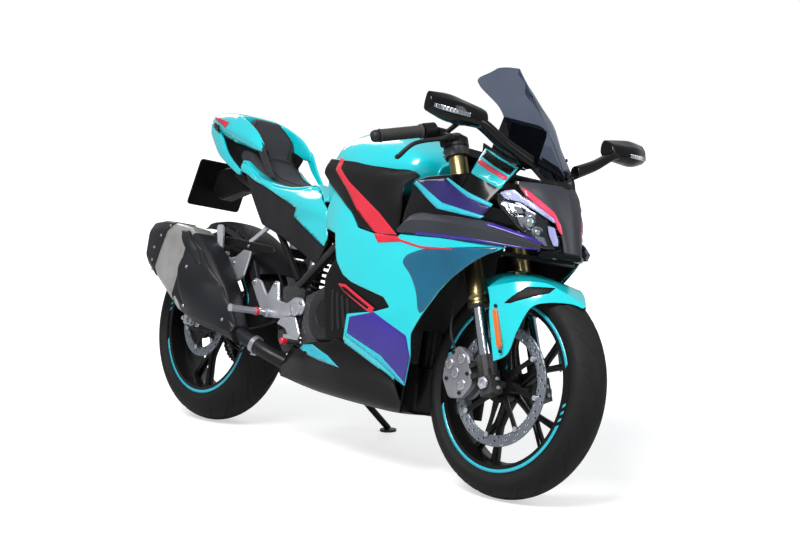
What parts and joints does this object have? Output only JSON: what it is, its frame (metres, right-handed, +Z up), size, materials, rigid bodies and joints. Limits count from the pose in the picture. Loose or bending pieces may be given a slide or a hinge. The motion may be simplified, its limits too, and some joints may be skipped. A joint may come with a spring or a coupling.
{
  "type": "sport bike",
  "caption": "Faired sport motorcycle leaning on its side stand, with turning wheels, steering and a folding stand.",
  "frame": {"origin": "middle of the bounding box on the ground under the parked bike", "axes": "+X the way the bike faces, +Y to its left, the side it leans to, +Z up"},
  "size_m": [1.967, 0.7965, 1.1277],
  "materials": {
    "black_metal": "satin",
    "engine_metal": "satin",
    "radiator_metal": "satin",
    "cyan_paint": "gloss",
    "cyan_gloss": "gloss",
    "black_gloss": "gloss",
    "grey_plastic": "matte",
    "black_plastic": "matte",
    "seat_cover": "matte",
    "red_lens": "gloss",
    "lamp_lens": "gloss",
    "screen_tint": "gloss",
    "steel": "satin",
    "chain_steel": "satin",
    "muffler_steel": "satin",
    "disc_steel": "satin",
    "silver_alloy": "satin",
    "gold_alloy": "satin",
    "fork_chrome": "polished",
    "rim_paint": "gloss",
    "tyre_rubber": "matte",
    "grip_rubber": "matte",
    "hose_rubber": "matte"
  },
  "bodies": {
    "chassis": {"frame": "black_metal", "subframe": "black_metal", "fairing_stay": "black_metal", "engine_block": "engine_metal", "engine_covers": "engine_metal", "radiator": "radiator_metal", "fuel_tank": "cyan_paint", "tank_side_covers": "black_gloss", "seat": "seat_cover", "pillion_pad": "seat_cover", "tail_cowl": "cyan_gloss", "seat_side_panels": "cyan_gloss", "tail_side_panels": "grey_plastic", "tail_lamp": "red_lens", "plate_hanger": "black_plastic", "swingarm": "black_metal", "spool_bosses": "silver_alloy", "rear_axle": "steel", "rear_hugger": "black_plastic", "drive_chain": "chain_steel", "shock": "steel", "exhaust_pipe": "steel", "muffler": "muffler_steel", "muffler_shield": "black_metal", "peg_hangers": "silver_alloy", "foot_controls": "silver_alloy", "rear_caliper": "silver_alloy", "side_fairings": "cyan_gloss", "side_vents": "black_plastic", "winglets": "grey_plastic", "upper_side_panels": "black_gloss", "nose_cowl": "grey_plastic", "headlamps": "lamp_lens", "windscreen": "screen_tint", "dash": "black_plastic", "inner_cowl": "black_plastic", "mirrors": "black_plastic", "belly_pan": "black_gloss"},
    "fork": {"fork_outers": "gold_alloy", "fork_inners": "fork_chrome", "fork_feet": "black_metal", "front_axle": "steel", "yokes": "black_metal", "handlebars": "black_metal", "grips": "grip_rubber", "hand_controls": "black_metal", "front_fender": "cyan_gloss", "front_caliper": "silver_alloy", "brake_hose": "hose_rubber"},
    "front_wheel": {"front_tyre": "tyre_rubber", "front_rim": "rim_paint", "front_disc": "disc_steel"},
    "rear_wheel": {"rear_tyre": "tyre_rubber", "rear_rim": "rim_paint", "rear_disc": "disc_steel", "sprocket": "steel"},
    "side_stand": {"side_stand": "black_metal"}
  },
  "joints": [
    {"name": "steering", "type": "hinge", "parent": "chassis", "child": "fork", "pos_m": [0.42396, -0.0368, 0.78191], "axis": [-0.4139, 0.1861, 0.8911], "range_deg": [-29, 23]},
    {"name": "front_spin", "type": "hinge", "parent": "fork", "child": "front_wheel", "pos_m": [0.6922, -0.13829, 0.28692], "axis": [-0.0478, 0.9731, -0.2254], "continuous": true},
    {"name": "rear_spin", "type": "hinge", "parent": "chassis", "child": "rear_wheel", "pos_m": [-0.67775, -0.13742, 0.30118], "axis": [-0.0002, 0.9789, -0.2045], "continuous": true},
    {"name": "stand_fold", "type": "hinge", "parent": "chassis", "child": "side_stand", "pos_m": [-0.18983, -0.04602, 0.21017], "axis": [0.0005, 0.7798, 0.6261], "range_deg": [0, 92]}
  ]
}
